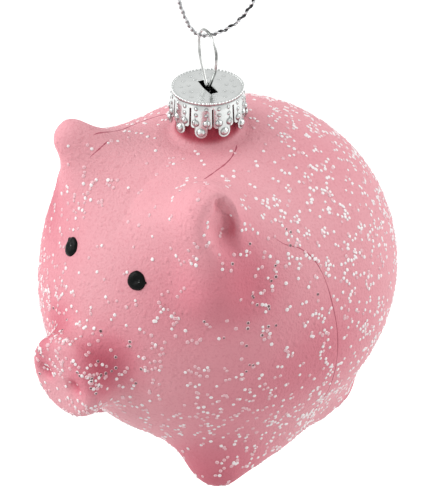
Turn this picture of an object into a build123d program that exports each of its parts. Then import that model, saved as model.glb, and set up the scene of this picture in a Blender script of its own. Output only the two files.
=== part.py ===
"""Pig-shaped hanging ornament: a hollow moulded shell with a crown cap, a sprung wire hanger and a cord loop.

Millimetres, +Z up. The pig faces -Y and its left side is +X. The origin is the inside of the cord loop's top,
just under the knot, where a hook or a twig carries the ornament. The shell's neck hangs straight below it.
"""
from build123d import *
import os
from math import asin, atan2, cos, degrees, radians, sin, sqrt, tan

# Shell: an egg turned about the pig's long axis, with a snout, two ears and four feet moulded on
body_radius = 36.0
body_front_share = 1.147
body_back_share = 1.042
body_behind_neck = 4.7
wall = 1.0

snout_radius = 8.8
snout_reach = 6.4
snout_drop = 3.0
snout_rim_radius = 2.2
snout_root_share = 0.75
snout_blend = 5.0
nostril_radius = 1.9
nostril_depth = 0.8
nostril_spacing = 7.5
nostril_lift = 0.8

ear_root_radius_share = 0.447
ear_tip_radius_share = 0.107
ear_blend_share = 0.25
ear_root_shares = (0.199, -0.36, 0.35)
ear_tip_shares = (0.533, -0.579, 0.936)
ear_hollow_radius_share = 0.139
ear_hollow_shares = (0.711, -0.640, 0.896)

leg_root_radius_share = 0.39
front_foot_radius_share = 0.235
rear_foot_radius_share = 0.283
leg_blend_share = 0.25
leg_bury_share = 0.727
leg_root_shares = (0.46, -0.02, -0.73)
front_foot_shares = (0.463, -0.481, -0.753)
rear_foot_shares = (0.448, 0.282, -0.725)

# Eyes: raised dabs of black paint
eye_radius = 2.1
eye_rise = 0.5
eye_round = 0.3
eye_spacing = 17.8
eye_lift = 17.8
paint_gap = 0.02

# Crown cap over the neck
cap_radius = 7.0
cap_flare = 0.75
cap_wall = 0.35
cap_edge_radius = 0.3
cap_skirt = 5.4
tongue_drop = 2.0
tongue_width = 2.6
tab_count = 10
slit_width = 0.45
slit_start = 1.3
slot_length = 5.7
slot_width = 1.6
neck_rise = 8.45
neck_blend = 1.5
neck_clearance = 0.3

# Wire hanger: a tall loop above the cap and two spring legs in the neck
wire_diameter = 0.6
wire_turn = -22.0
loop_rise = 12.2
loop_width = 8.2
loop_waist = 5.6
loop_bend = 3.7
loop_side_bend = 7.5
slot_gap = 1.0
slot_bend = 1.2
leg_drop = 17.0
leg_clearance = 0.3

# Cord: one loop through the wire, its ends knotted together at the top
cord_diameter = 0.9
cord_clearance = 0.1
knot_radius = 1.4
knot_height = 3.6
tail_length = 7.5
tail_lean = 22.0
bend_share = 0.45
cord_route = [
    (-0.6, 0.2),
    (-3.4, -4.6),
    (-6.3, -10.5),
    (-8.1, -18.0),
    (-8.5, -26.0),
    (-7.1, -33.5),
    (-5.3, -39.6),
    (-3.6, -43.8),
    (-1.4, -46.0),
    (2.8, -46.0),
    (6.8, -44.5),
    (10.0, -41.0),
    (12.2, -35.2),
    (12.8, -27.5),
    (11.5, -19.0),
    (8.5, -11.0),
    (4.4, -4.8),
    (0.6, 0.2),
]

overrun = 5.0

# Sizes and places that follow from the sizes above
body_front = body_front_share * body_radius
body_back = body_back_share * body_radius
ear_root_radius = ear_root_radius_share * body_radius
ear_tip_radius = ear_tip_radius_share * body_radius
ear_blend = ear_blend_share * body_radius
ear_hollow_radius = ear_hollow_radius_share * body_radius
leg_root_radius = leg_root_radius_share * body_radius
front_foot_radius = front_foot_radius_share * body_radius
rear_foot_radius = rear_foot_radius_share * body_radius
leg_blend = leg_blend_share * body_radius
wire_radius = wire_diameter / 2
cord_radius = cord_diameter / 2
neck_radius = cap_radius - cap_wall - neck_clearance
bore_radius = neck_radius - wall
swing_height = min(height for across, height in cord_route)
wire_top = swing_height + cord_radius + cord_clearance + wire_radius
cap_top = wire_top + wire_radius - loop_rise
neck_rim = cap_top - cap_wall
body_height = neck_rim - neck_rise - body_radius
body_centre = Vector(0, body_behind_neck, body_height)
wire_plane = Plane(origin=(0, 0, 0), x_dir=(cos(radians(wire_turn)), sin(radians(wire_turn)), 0),
                   z_dir=(sin(radians(wire_turn)), -cos(radians(wire_turn)), 0))
cord_plane = Plane(origin=(0, 0, 0), x_dir=wire_plane.z_dir * -1, z_dir=wire_plane.x_dir)


def on_body(shares, side):
    """A place given as shares of the body's half sizes, on the pig's left (1) or right (-1)."""
    length = body_front if shares[1] < 0 else body_back
    return body_centre + Vector(side * shares[0] * body_radius, shares[1] * length, shares[2] * body_radius)


def end_arcs(length, inset):
    """Half an end of the egg as two tangent arcs over (radius, length): the side, then the round tip."""
    tip_radius = body_radius * sqrt(body_radius / length)
    tip_place = length - tip_radius
    side_radius = (tip_place ** 2 + body_radius ** 2 - tip_radius ** 2) / (2 * (body_radius - tip_radius))
    turn = degrees(atan2(tip_place, side_radius - body_radius))
    side = CenterArc((body_radius - side_radius, 0), side_radius - inset, 0, turn)
    tip = CenterArc((0, tip_place), tip_radius - inset, turn, 90 - turn)
    return side, tip


def egg(inset):
    """The body, turned about the pig's long axis from a longer front and a shorter back."""
    side, tip = end_arcs(body_back, inset)
    front_side, front_tip = (mirror(arc, Plane.XZ) for arc in end_arcs(body_front, inset))
    length = body_front + body_back - 2 * inset
    axis_line = Line((0, body_back - inset), (0, body_back - inset - length))
    half = make_face([side, tip, axis_line, front_tip, front_side])
    return Pos(body_centre) * revolve(half, Axis.Y)


def round_cone(start, end, start_radius, end_radius):
    """Two balls and the cone that is tangent to both, turned about the line through their centres."""
    length = (end - start).length
    lean = asin((start_radius - end_radius) / length)
    half = lean / 2 + radians(45)
    low = (start_radius * cos(lean), start_radius * sin(lean))
    high = (end_radius * cos(lean), length + end_radius * sin(lean))
    low_ball = ThreePointArc((0, -start_radius), (start_radius * sin(half), -start_radius * cos(half)), low)
    side = Line(low, high)
    high_mid = (end_radius * cos(half), length + end_radius * sin(half))
    high_ball = ThreePointArc(high, high_mid, (0, length + end_radius))
    profile = make_face([low_ball, side, high_ball, Line(high_ball @ 1, low_ball @ 0)])
    upright = Rot(90, 0, 0) * revolve(profile, Axis.Y)
    return Plane(origin=start, z_dir=end - start) * upright


def snout(inset):
    """A short barrel with a rounded rim, along the pig's long axis."""
    radius = snout_radius - inset
    rim = snout_rim_radius - inset
    face = -(body_front + snout_reach - inset)
    root = -snout_root_share * body_front
    flat = Line((0, face), (radius - rim, face))
    corner = CenterArc((radius - rim, face + rim), rim, -90, 90)
    side = Line((radius, face + rim), (radius, root))
    back = Polyline((radius, root), (0, root), (0, face))
    profile = make_face([flat, corner, side, back])
    return Pos(body_centre - Vector(0, 0, snout_drop)) * revolve(profile, Axis.Y)


def ear(side, inset):
    """An ear as a wide round cone that starts deep inside the body."""
    return round_cone(on_body(ear_root_shares, side), on_body(ear_tip_shares, side),
                      ear_root_radius - inset, ear_tip_radius - inset)


def ear_hollow(side, inset):
    """The ball that hollows the ear's outer face, grown by the inset so that the wall keeps its thickness."""
    return Pos(on_body(ear_hollow_shares, side)) * Sphere(ear_hollow_radius + inset)


def legs(side, inset):
    """The front and the rear leg of one side, two blunt cones that lean apart from one buried root."""
    outward = (on_body(leg_root_shares, side) - body_centre).normalized()
    root = body_centre + outward * (body_radius - leg_bury_share * leg_root_radius)
    root_radius = leg_root_radius - inset
    front = round_cone(root, on_body(front_foot_shares, side), root_radius, front_foot_radius - inset)
    rear = round_cone(root, on_body(rear_foot_shares, side), root_radius, rear_foot_radius - inset)
    return front + rear


def join(form, piece, blend):
    """Fuse a piece to the form and round the new inside corner between them."""
    whole = form + piece
    return fillet(new_edges(form, piece, combined=whole), blend)


def pig_form(inset):
    """The whole moulded form without its neck, drawn in by the inset, every join rounded."""
    form = join(egg(inset), snout(inset), snout_blend + inset)
    for side in (1, -1):
        form = join(form, ear(side, inset), ear_blend + inset)
        form = join(form, legs(side, inset), leg_blend + inset)
    for side in (1, -1):
        form = form - ear_hollow(side, inset)
    return form


def neck_tube(radius, top):
    """An upright round bar from inside the body to the given height, on the neck's axis."""
    foot = body_height
    return Pos(0, 0, foot) * Cylinder(radius, top - foot, align=(Align.CENTER, Align.CENTER, Align.MIN))


def nostrils():
    """Two balls that dent the snout's face."""
    face = body_centre - Vector(0, body_front + snout_reach, snout_drop)
    out = nostril_radius - nostril_depth
    balls = []
    for side in (1, -1):
        place = face + Vector(side * nostril_spacing / 2, -out, nostril_lift)
        balls.append(Pos(place) * Sphere(nostril_radius))
    return balls


def body_shell():
    """The moulded shell: the form with its neck and nostrils, less the same form drawn in by the wall."""
    outer = join(pig_form(0), neck_tube(neck_radius, neck_rim), neck_blend)
    for ball in nostrils():
        outer = outer - ball
    return outer - (pig_form(wall) + neck_tube(bore_radius, neck_rim + overrun))


def eye(side):
    """A dab of paint: a round bar with a soft edge along the body's normal, cut by the body."""
    across = side * eye_spacing / 2
    depth = sqrt(1 - (across ** 2 + eye_lift ** 2) / body_radius ** 2)
    spot = Vector(across, -body_front * depth, eye_lift)
    outward = Vector(spot.X / body_radius ** 2, spot.Y / body_front ** 2, spot.Z / body_radius ** 2)
    bar = Cylinder(eye_radius, eye_rise + overrun, align=(Align.CENTER, Align.CENTER, Align.MAX))
    dab = Pos(0, 0, eye_rise) * fillet(bar.edges().sort_by(Axis.Z)[-1], eye_round)
    return Plane(origin=body_centre + spot, z_dir=outward) * dab - egg(-paint_gap)


def cap_shell():
    """The plain cap: a flat top and a skirt that flares, both one wall thick."""
    drop = cap_skirt + tongue_drop
    low_radius = cap_radius + cap_flare
    outside = Pos(0, 0, -drop) * Cone(low_radius, cap_radius, drop,
                                      align=(Align.CENTER, Align.CENTER, Align.MIN))
    outside = fillet(outside.edges().sort_by(Axis.Z)[-1], cap_edge_radius)
    hollow = Pos(0, 0, -drop - cap_wall) * Cone(low_radius - cap_wall, cap_radius - cap_wall, drop,
                                               align=(Align.CENTER, Align.CENTER, Align.MIN))
    return outside - hollow


def cap_gaps():
    """What is cut away between two tongues and along the slit above them, for one pair of tabs."""
    reach = cap_radius + cap_flare + overrun
    pitch = 2 * (cap_radius + cap_flare) * sin(radians(180 / tab_count))
    notch_width = pitch - tongue_width
    notch_top = -cap_skirt
    notch = Pos(reach / 2, 0, notch_top) * Box(reach, notch_width, 2 * overrun,
                                             align=(Align.CENTER, Align.CENTER, Align.MAX))
    slit = Pos(reach / 2, 0, -slit_start) * Box(reach, slit_width, 2 * overrun,
                                              align=(Align.CENTER, Align.CENTER, Align.MAX))
    return notch + slit


def crown_cap():
    """The cap with its tabs, tongues and the slot that the wire passes through."""
    cap = cap_shell()
    gap = cap_gaps()
    for tab in range(tab_count):
        cap = cap - Rot(0, 0, wire_turn + 360 / tab_count * (tab + 0.5)) * gap
    slot = Rot(0, 0, wire_turn) * Box(slot_length, slot_width, 2 * cap_wall + overrun)
    return Pos(0, 0, cap_top) * (cap - slot)


def wire_half():
    """The wire's corners on one side, from the spring leg's tip up to the loop, and its bend radii."""
    slot_place = Vector(slot_gap / 2, cap_top - cap_wall / 2)
    front = (body_behind_neck + bore_radius) / (body_front - wall)
    bore_end = body_height + (body_radius - wall) * sqrt(1 - front ** 2)
    bearing = Vector(bore_radius - wire_radius - leg_clearance, bore_end)
    slope = (bearing.X - slot_place.X) / (slot_place.Y - bearing.Y)
    tip = Vector(slot_place.X + slope * leg_drop, slot_place.Y - leg_drop)
    side = loop_width / 2 - wire_radius
    corners = [tip, slot_place, Vector(side, cap_top + loop_waist), Vector(side, wire_top)]
    return corners, [slot_bend, loop_side_bend, loop_bend]


def hanger_wire():
    """One bent wire: leg, loop and leg, in an upright plane through the cap's slot."""
    corners, bends = wire_half()
    left = [Vector(-corner.X, corner.Y) for corner in corners]
    points = corners + left[::-1]
    path = wire_plane * FilletPolyline([(p.X, p.Y) for p in points], radius=bends + bends[::-1])
    end = Plane(origin=path @ 0, z_dir=path % 0)
    return sweep(end * Circle(wire_radius), path=path)


def route_radii(points):
    """The radius at each inner corner: a share of the shorter run over the tangent of half the turn."""
    radii = []
    for before, corner, after in zip(points, points[1:], points[2:]):
        into = Vector(*corner) - Vector(*before)
        out = Vector(*after) - Vector(*corner)
        half_turn = radians(into.get_angle(out)) / 2
        radii.append(bend_share * min(into.length, out.length) / tan(half_turn))
    return radii


def cord_loop():
    """The cord as a tube of straight runs and tangent arcs, from the knot through the wire and back."""
    radii = route_radii(cord_route)
    path = cord_plane * FilletPolyline(cord_route, radius=radii)
    tube = sweep(Plane(origin=path @ 0, z_dir=path % 0) * Circle(cord_radius), path=path)
    section = Circle(cord_radius).area
    print("cord radii", [round(radius, 1) for radius in radii])
    print("cord length", round(path.length, 1))
    print("cord volume over section times length", tube.volume / (section * path.length))
    return tube


def cord_knot(tube):
    """The knot that joins the cord's ends, a barrel with two short tails, cut clear of the loop's ends."""
    low = cord_route[0][1] + knot_radius
    middle = cord_route[0][1] + knot_height / 2
    high = cord_route[0][1] + knot_height - knot_radius
    knot = round_cone(Vector(0, 0, low), Vector(0, 0, high), knot_radius, knot_radius)
    for lean in (tail_lean, -tail_lean):
        tail = Cylinder(cord_radius, tail_length, align=(Align.CENTER, Align.CENTER, Align.MIN))
        knot = knot + Pos(0, 0, middle) * Rot(0, 0, wire_turn + 90) * Rot(0, lean, 0) * tail
    return knot - tube


os.makedirs("parts", exist_ok=True)
loop_tube = cord_loop()
nodes = {
    "body_shell": body_shell(),
    "left_eye": eye(1),
    "right_eye": eye(-1),
    "crown_cap": crown_cap(),
    "hanger_wire": hanger_wire(),
    "cord_loop": loop_tube,
    "cord_knot": cord_knot(loop_tube),
}
for name, solid in nodes.items():
    export_step(solid, f"parts/{name}.step")
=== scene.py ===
"""Looks of the hanging pig ornament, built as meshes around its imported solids.

Lengths in the shape functions are millimetres. The moulded shell is worked out about the centre of its
egg-shaped body, with the pig facing -Y and its left side at +X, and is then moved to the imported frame.
"""

import math

import bpy
import numpy as np
from mathutils import Matrix, Vector


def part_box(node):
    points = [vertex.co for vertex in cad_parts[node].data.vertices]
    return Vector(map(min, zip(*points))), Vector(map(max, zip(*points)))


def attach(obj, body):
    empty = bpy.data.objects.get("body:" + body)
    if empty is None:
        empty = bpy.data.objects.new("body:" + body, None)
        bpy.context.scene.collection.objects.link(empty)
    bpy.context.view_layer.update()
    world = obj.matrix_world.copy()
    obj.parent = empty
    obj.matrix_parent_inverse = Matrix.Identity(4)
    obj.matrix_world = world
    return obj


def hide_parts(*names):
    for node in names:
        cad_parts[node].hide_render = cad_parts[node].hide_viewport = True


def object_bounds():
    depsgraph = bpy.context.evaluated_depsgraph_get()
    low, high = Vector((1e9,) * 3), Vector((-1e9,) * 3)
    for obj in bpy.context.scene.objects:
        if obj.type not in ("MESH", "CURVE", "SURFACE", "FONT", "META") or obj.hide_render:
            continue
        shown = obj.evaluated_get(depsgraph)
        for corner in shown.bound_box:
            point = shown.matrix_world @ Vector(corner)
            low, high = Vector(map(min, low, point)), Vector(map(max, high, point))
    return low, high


bl_info = {
    "name": "Hanging pig ornament",
    "version": (1, 0, 0),
    "blender": (4, 5, 0),
    "location": "3D View > Sidebar > Ornament",
    "description": "Builds the glittered shell, eyes, crown cap, hanger and cord of a pig ornament",
    "category": "Add Mesh",
}

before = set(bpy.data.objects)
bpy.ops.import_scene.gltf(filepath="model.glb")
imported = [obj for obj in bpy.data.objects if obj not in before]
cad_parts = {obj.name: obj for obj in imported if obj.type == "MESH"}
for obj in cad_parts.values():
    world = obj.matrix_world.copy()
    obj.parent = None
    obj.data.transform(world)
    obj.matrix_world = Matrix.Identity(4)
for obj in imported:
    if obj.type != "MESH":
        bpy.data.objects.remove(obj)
CAD_BOX = [list(corner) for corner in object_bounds()]
MM = 0.001
UP = np.array([0.0, 0.0, 1.0])
PHOTO_WIDTH, PHOTO_HEIGHT = 447, 491

# Sizes that repeat the part's own, in millimetres
BODY_RADIUS, BODY_FRONT, BODY_BACK = 36.0, 41.29, 37.51
NECK_RISE, NECK_RADIUS, BORE_RADIUS = 8.45, 6.35, 5.35
SHELL_HIGH = np.array(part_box("body_shell")[1]) / MM
NECK_TOP = BODY_RADIUS + NECK_RISE
BODY_CENTRE = np.array([0.0, SHELL_HIGH[1] - BODY_BACK, SHELL_HIGH[2] - NECK_TOP])
NECK_AXIS = -BODY_CENTRE[1]
CAP_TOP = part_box("crown_cap")[1].z / MM
WIRE_TURN = math.radians(-22.0)
ALONG_WIRE = np.array([math.cos(WIRE_TURN), math.sin(WIRE_TURN), 0.0])
ALONG_CORD = np.array([-math.sin(WIRE_TURN), math.cos(WIRE_TURN), 0.0])
CORD_ROUTE = np.array([
    (-0.6, 0.2), (-3.4, -4.6), (-6.3, -10.5), (-8.1, -18.0), (-8.5, -26.0), (-7.1, -33.5), (-5.3, -39.6),
    (-3.6, -43.8), (-1.4, -46.0), (2.8, -46.0), (6.8, -44.5), (10.0, -41.0), (12.2, -35.2), (12.8, -27.5),
    (11.5, -19.0), (8.5, -11.0), (4.4, -4.8), (0.6, 0.2)])


# Settings

def colour_setting(name, description, default):
    """A colour that a user may change."""
    return bpy.props.FloatVectorProperty(
        name=name, description=description, subtype="COLOR", size=3, default=default)


def length_setting(name, description, default):
    """A length in metres that a user may change."""
    return bpy.props.FloatProperty(name=name, description=description, unit="LENGTH", default=default)


def count_setting(name, description, default):
    """A whole number that a user may change."""
    return bpy.props.IntProperty(name=name, description=description, default=default)


class ShellSettings(bpy.types.PropertyGroup):
    pink: colour_setting("Pink", "Colour of the moulded shell", (0.86, 0.42, 0.465))
    # Rose pink and deep pink, as the spray colours, are painted shade laid in soft spots where shade falls;
    # deep pink also tints the random blotches and grain.
    shade_spot_pink: colour_setting("Rose pink", "Colour of sprayed paint at half strength", (0.80, 0.285, 0.345))
    deep_pink: colour_setting("Deep pink", "Colour of sprayed paint at full strength", (0.58, 0.12, 0.17))
    # Pale pink is painted light on the ears' fronts.
    painted_light_pink: colour_setting("Pale pink", "Colour of thin paint on the ears' fronts", (1.0, 0.44, 0.50))
    # Hollow pink is painted shade in the shell's hollows.
    hollow_shade_pink: colour_setting("Hollow pink", "Colour of the shell in its hollows", (0.48, 0.095, 0.14))
    # Neck red is partly the bare neck's colour and partly painted shadow under the cap.
    neck_red_and_shadow: colour_setting("Neck red", "Colour of the bare neck under the cap", (0.40, 0.035, 0.065))
    # The bore's near-black is painted shade inside the neck.
    bore_shade_black: colour_setting("Bore", "Colour inside the neck", (0.008, 0.004, 0.004))
    # The parting line's colour also draws the right ear's crease as painted shade.
    seam_and_crease_shade_pink: colour_setting("Parting line", "Colour of the mould's parting line", (0.38, 0.07, 0.11))
    seam_width: length_setting("Parting line width", "Width of the parting line", 0.00040)
    rings: count_setting("Rings", "Grid rings from snout to tail end", 232)
    columns: count_setting("Columns", "Grid columns around the body", 400)


class GlitterSettings(bpy.types.PropertyGroup):
    count: count_setting("Flakes", "Number of glitter flakes", 5900)
    flake_size: length_setting("Flake size", "Width of one flake", 0.00076)
    seed: count_setting("Seed", "Seed of the scatter", 11)
    white: colour_setting("White flakes", "Colour of the white flakes", (0.97, 0.92, 0.92))
    clear: colour_setting("Clear flakes", "Colour of clear flakes at their edge", (0.92, 0.66, 0.69))
    through: colour_setting("Through flakes", "Colour in the middle of clear flakes", (0.78, 0.33, 0.39))
    # The dark flakes' middle colour is painted dark reflection.
    dark: colour_setting("Dark flakes", "Colour in the middle of dark flakes", (0.06, 0.008, 0.012))


class EyeSettings(bpy.types.PropertyGroup):
    paint: colour_setting("Eye paint", "Colour of the eyes' paint", (0.004, 0.005, 0.005))
    dust: colour_setting("Dust", "Colour of the dust on the paint", (0.10, 0.11, 0.10))
    # Shine is a painted highlight: pale flecks in one spot of each dab.
    painted_highlight: colour_setting("Shine", "Colour of the pale flecks on the paint", (0.62, 0.66, 0.65))
    radius: length_setting("Eye radius", "Radius of a dab", 0.00185)
    rise: length_setting("Eye rise", "Height of a dab", 0.00062)


class CapSettings(bpy.types.PropertyGroup):
    silver: colour_setting("Silver", "Colour of the stamped cap", (0.67, 0.69, 0.68))
    dull: colour_setting("Dull silver", "Colour of the cap's cloudy patches", (0.50, 0.52, 0.51))
    # The hollow colour is painted shade in the cap's hollows.
    hollow: colour_setting("Hollow", "Colour of the cap in its hollows", (0.06, 0.065, 0.065))
    # The grime colour is painted shade: rings at the feet of beads and dots and a band under the rim.
    crevice_shade: colour_setting("Grime", "Colour around the beads and dots", (0.07, 0.075, 0.075))
    sheet: length_setting("Sheet", "Thickness of the sheet", 0.0003)
    tabs: count_setting("Tabs", "Number of tabs around the skirt", 10)


class HangerSettings(bpy.types.PropertyGroup):
    steel: colour_setting("Wire", "Colour of the hanger's wire", (0.56, 0.57, 0.56))
    steel_dull: colour_setting("Dull wire", "Colour of the wire's dull patches", (0.12, 0.125, 0.12))
    thread: colour_setting("Thread", "Colour of the cord's metallic thread", (0.86, 0.87, 0.88))
    # The dark thread colour is painted dark reflection on the darker ply.
    thread_dark_reflection: colour_setting("Dark thread", "Colour of the cord's darker ply", (0.030, 0.032, 0.032))
    thread_shade: colour_setting("Thread shade", "Colour between the cord's threads", (0.05, 0.05, 0.055))
    cord_diameter: length_setting("Cord diameter", "Diameter over both plies", 0.0009)
    lay: length_setting("Lay", "Length of one full turn of the two plies", 0.0023)


class StageSettings(bpy.types.PropertyGroup):
    azimuth: bpy.props.FloatProperty(
        name="Azimuth", description="Camera's turn from the pig's front", subtype="ANGLE",
        default=math.radians(41.894))
    elevation: bpy.props.FloatProperty(
        name="Elevation", description="Camera's height angle", subtype="ANGLE", default=math.radians(35.023))
    distance: length_setting("Distance", "Camera's distance from the body", 0.370)
    focal_pixels: bpy.props.FloatProperty(
        name="Focal length", description="Focal length in pixels of the picture", default=1762.0)
    aim: bpy.props.FloatVectorProperty(
        name="Aim", description="Point at the picture's middle, right and up from the view's middle", size=2,
        unit="LENGTH", default=(0.001617, 0.004028))
    floor_drop: length_setting("Floor", "Floor's distance below the feet", 0.085)
    sky: bpy.props.FloatProperty(name="Sky", description="Strength of the even light", default=0.52)
    key: bpy.props.FloatProperty(
        name="Key", description="Power of the main soft lamp", unit="POWER", default=3.5)
    fill: bpy.props.FloatProperty(
        name="Fill", description="Power of the side lamp", unit="POWER", default=2.45)


SETTINGS = {
    "pig_shell": ShellSettings,
    "pig_glitter": GlitterSettings,
    "pig_eyes": EyeSettings,
    "pig_cap": CapSettings,
    "pig_hanger": HangerSettings,
    "pig_stage": StageSettings,
}


# Mesh helpers

def grid_faces(rows, columns, around=True):
    """Quads between neighbours of a grid, with its last column joined to the first if it goes around."""
    across = np.arange(columns if around else columns - 1)
    row, column = np.meshgrid(np.arange(rows - 1), across, indexing="ij")
    after = (column + 1) % columns
    low, high = row * columns, (row + 1) * columns
    return np.stack([low + column, low + after, high + after, high + column], -1).reshape(-1, 4)


def fan_faces(ring, pole):
    """Triangles from a pole to each pair of neighbours on a closed ring of point numbers."""
    return np.stack([np.full_like(ring, pole), np.roll(ring, -1), ring], -1)


def outward(points, faces, middle):
    """Faces, all turned over if, summed, their area vectors point at the middle instead of away from it.

    The middle is one place, or one for each point.
    """
    a, b, c = (points[faces[:, k]] for k in range(3))
    from_middle = (points - middle)[faces[:, 0]]
    return faces if (np.cross(b - a, c - a) * from_middle).sum() > 0 else faces[:, ::-1]


def joined(meshes):
    """The points and face groups of several meshes as those of one."""
    starts = np.cumsum([0] + [len(points) for points, _ in meshes])
    faces = [group + start for (_, groups), start in zip(meshes, starts) for group in groups]
    return np.concatenate([points for points, _ in meshes]), faces


def make_piece(name, points, faces, body, material, values=None):
    """A smooth mesh object at the origin from millimetre points, riding on a body with its material.

    Values are numbers for each point, which the material reads by name.
    """
    mesh = bpy.data.meshes.new(name)
    face_list = [face for group in faces for face in group.tolist()]
    mesh.from_pydata((points * MM).tolist(), [], face_list)
    mesh.validate()
    mesh.shade_smooth()
    mesh.materials.append(material)
    for key, numbers in (values or {}).items():
        layer = mesh.attributes.new(key, "FLOAT", "POINT")
        layer.data.foreach_set("value", np.asarray(numbers, np.float32))
    piece = bpy.data.objects.new(name, mesh)
    bpy.context.scene.collection.objects.link(piece)
    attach(piece, body)
    return piece


# Lines and bells

def unit(v):
    """Vectors at unit length."""
    return v / np.maximum(np.linalg.norm(v, axis=-1, keepdims=True), 1e-12)


def smooth_step(x, low, high):
    """0 below low, 1 above high and a cubic ease between."""
    t = np.clip((x - low) / (high - low), 0, 1)
    return t * t * (3 - 2 * t)


def bell(p, place, width, height):
    """Height times a bell of the distance from a place."""
    return height * np.exp(-((p - place) ** 2).sum(-1) / (2 * width * width))


def mirrored(p):
    """Points brought over to the left side."""
    return np.concatenate([np.abs(p[..., :1]), p[..., 1:]], -1)


def travel_along(line):
    """Distance travelled along a line, at each of its points."""
    return np.r_[0, np.cumsum(np.linalg.norm(np.diff(line, axis=0), axis=1))]


def at_travel(line, travel, places):
    """Points of a line at distances travelled along it."""
    return np.stack([np.interp(places, travel, line[:, k]) for k in range(line.shape[1])], -1)


def smooth_line(points, count):
    """A curve through points at even steps of length, by Catmull and Rom's cubic between each pair."""
    ends = np.concatenate([[2 * points[0] - points[1]], points, [2 * points[-1] - points[-2]]])
    t = np.linspace(0, len(points) - 1, 40 * len(points))
    k = np.minimum(t.astype(int), len(points) - 2)
    u = (t - k)[:, None]
    p0, p1, p2, p3 = (ends[k + j] for j in range(4))
    bend = 2 * p0 - 5 * p1 + 4 * p2 - p3
    twist = 3 * p1 - p0 - 3 * p2 + p3
    curve = 0.5 * (2 * p1 + (p2 - p0) * u + bend * u ** 2 + twist * u ** 3)
    travel = travel_along(curve)
    return at_travel(curve, travel, np.linspace(0, travel[-1], count))


# The moulded form as a field: negative inside, zero on the surface, in millimetres about the body's centre

SNOUT_HEIGHT, SNOUT_FACE, SNOUT_ROOT = -3.0, -(BODY_FRONT + 6.4), -28.0
SNOUT_RADIUS, SNOUT_RIM, SNOUT_BLEND = 8.8, 2.2, 3.8
EAR_ROOT, EAR_TIP = np.array([16.1, -13.7, 14.9]), np.array([18.6, -23.4, 33.4])
EAR_RADII, EAR_BLEND = (9.6, 2.8), 11.8
EAR_FOLD_ROOT, EAR_FOLD_TIP = np.array([10.5, -19.5, 23.1]), np.array([18.2, -25.1, 34.7])
EAR_FOLD_RADII, EAR_FOLD_BLEND = (5.65, 3.5), 4.0
LEFT_RIDGE_TOP, LEFT_RIDGE_END = np.array([17.4, -25.0, 30.0]), np.array([21.0, -25.8, 18.0])
LEFT_BROW_ROOT, LEFT_BROW_TIP = np.array([7.2, -23.6, 25.6]), np.array([17.0, -24.6, 32.8])
LEFT_RIDGE_RADII, LEFT_BROW_RADII, LEFT_FOLD_BLEND = (3.6, 4.8), (4.0, 3.4), 5.0
EAR_CUP = np.array([22.84, -25.5, 32.36])
EAR_CUP_AXES = np.array([[0.175, 0.218, -0.960], [0.336, 0.904, 0.266], [0.926, -0.369, 0.085]])
EAR_CUP_UP, EAR_CUP_DOWN, EAR_CUP_FRONT, EAR_CUP_REAR = 6.3, 9.5, 5.0, 3.05
EAR_CUP_DEPTH, EAR_CUP_CRISP, EAR_CUP_SOFT = 2.5, 0.60, 0.08
CRISP_ACROSS, CRISP_ALONG, EAR_CUP_FADE = (-1.0, 1.5), (1.5, 5.0), (3.0, 6.0)
NOSTRIL_HEIGHT, NOSTRIL_WIDTH, NOSTRIL_DEPTH = SNOUT_HEIGHT + 0.1, 0.95, 1.6
NOSTRILS = (np.array([3.3, SNOUT_FACE, NOSTRIL_HEIGHT]), np.array([-4.4, SNOUT_FACE, NOSTRIL_HEIGHT]))
LEG_ROOTS = (np.array([17.3, -9.3, -27.5]), np.array([17.3, 8.0, -27.5]))
LEG_ENDS = (np.array([18.4, -22.0, -29.9]), np.array([18.4, 12.5, -29.9]))
LEG_RADII, LEG_BLEND = (6.3, 4.9), 12.2
SOFT_DENTS = ((np.array([26.5, -18.5, 19.5]), 5.0, 0.8), (np.array([24.0, 0.5, 26.5]), 7.0, 0.67))


def smooth_least(a, b, blend):
    """The lesser of two fields, with a quadratic rounding where they differ by less than the blend."""
    near = np.maximum(blend - np.abs(a - b), 0.0) / blend
    return np.minimum(a, b) - near * near * blend / 4


def egg_field(p):
    """The body, an ellipsoid whose long half axis differs in front and behind: its distance to first order.

    That is k0 (k0 - 1) / k1 with k0 = |p / r| and k1 = |p / r^2|.
    """
    length = np.where(p[..., 1] < 0, BODY_FRONT, BODY_BACK)
    width = np.full_like(length, BODY_RADIUS)
    radii = np.stack([width, length, width], -1)
    k0 = np.linalg.norm(p / radii, axis=-1)
    k1 = np.linalg.norm(p / radii ** 2, axis=-1)
    return k0 * (k0 - 1) / np.maximum(k1, 1e-9)


def round_cone_field(p, start, end, radii):
    """Distance to two balls and the cone that touches both, by the region of the axis that a point faces."""
    start_radius, end_radius = radii
    axis = end - start
    length2 = axis @ axis
    taper = start_radius - end_radius
    slant2 = length2 - taper * taper
    rel = p - start
    y = rel @ axis
    z = y - length2
    x2 = ((rel * length2 - y[..., None] * axis) ** 2).sum(-1)
    side = np.sign(taper) * taper * taper * x2
    beyond_end = np.sqrt(x2 + z * z * length2) / length2 - end_radius
    before_start = np.sqrt(x2 + y * y * length2) / length2 - start_radius
    between = (np.sqrt(x2 * slant2 / length2) + y * taper) / length2 - start_radius
    at_end = np.sign(z) * slant2 * z * z * length2 > side
    at_start = np.sign(y) * slant2 * y * y * length2 < side
    return np.where(at_end, beyond_end, np.where(at_start, before_start, between))


def snout_field(p):
    """A barrel along the long axis with a rounded rim: a box in radius and length, grown by the rim."""
    radius = np.hypot(p[..., 0], p[..., 2] - SNOUT_HEIGHT) - (SNOUT_RADIUS - SNOUT_RIM)
    middle, half = (SNOUT_FACE + SNOUT_ROOT) / 2, (SNOUT_ROOT - SNOUT_FACE) / 2
    along = np.abs(p[..., 1] - middle) - (half - SNOUT_RIM)
    outside = np.hypot(np.maximum(radius, 0), np.maximum(along, 0))
    return outside + np.minimum(np.maximum(radius, along), 0) - SNOUT_RIM


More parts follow.
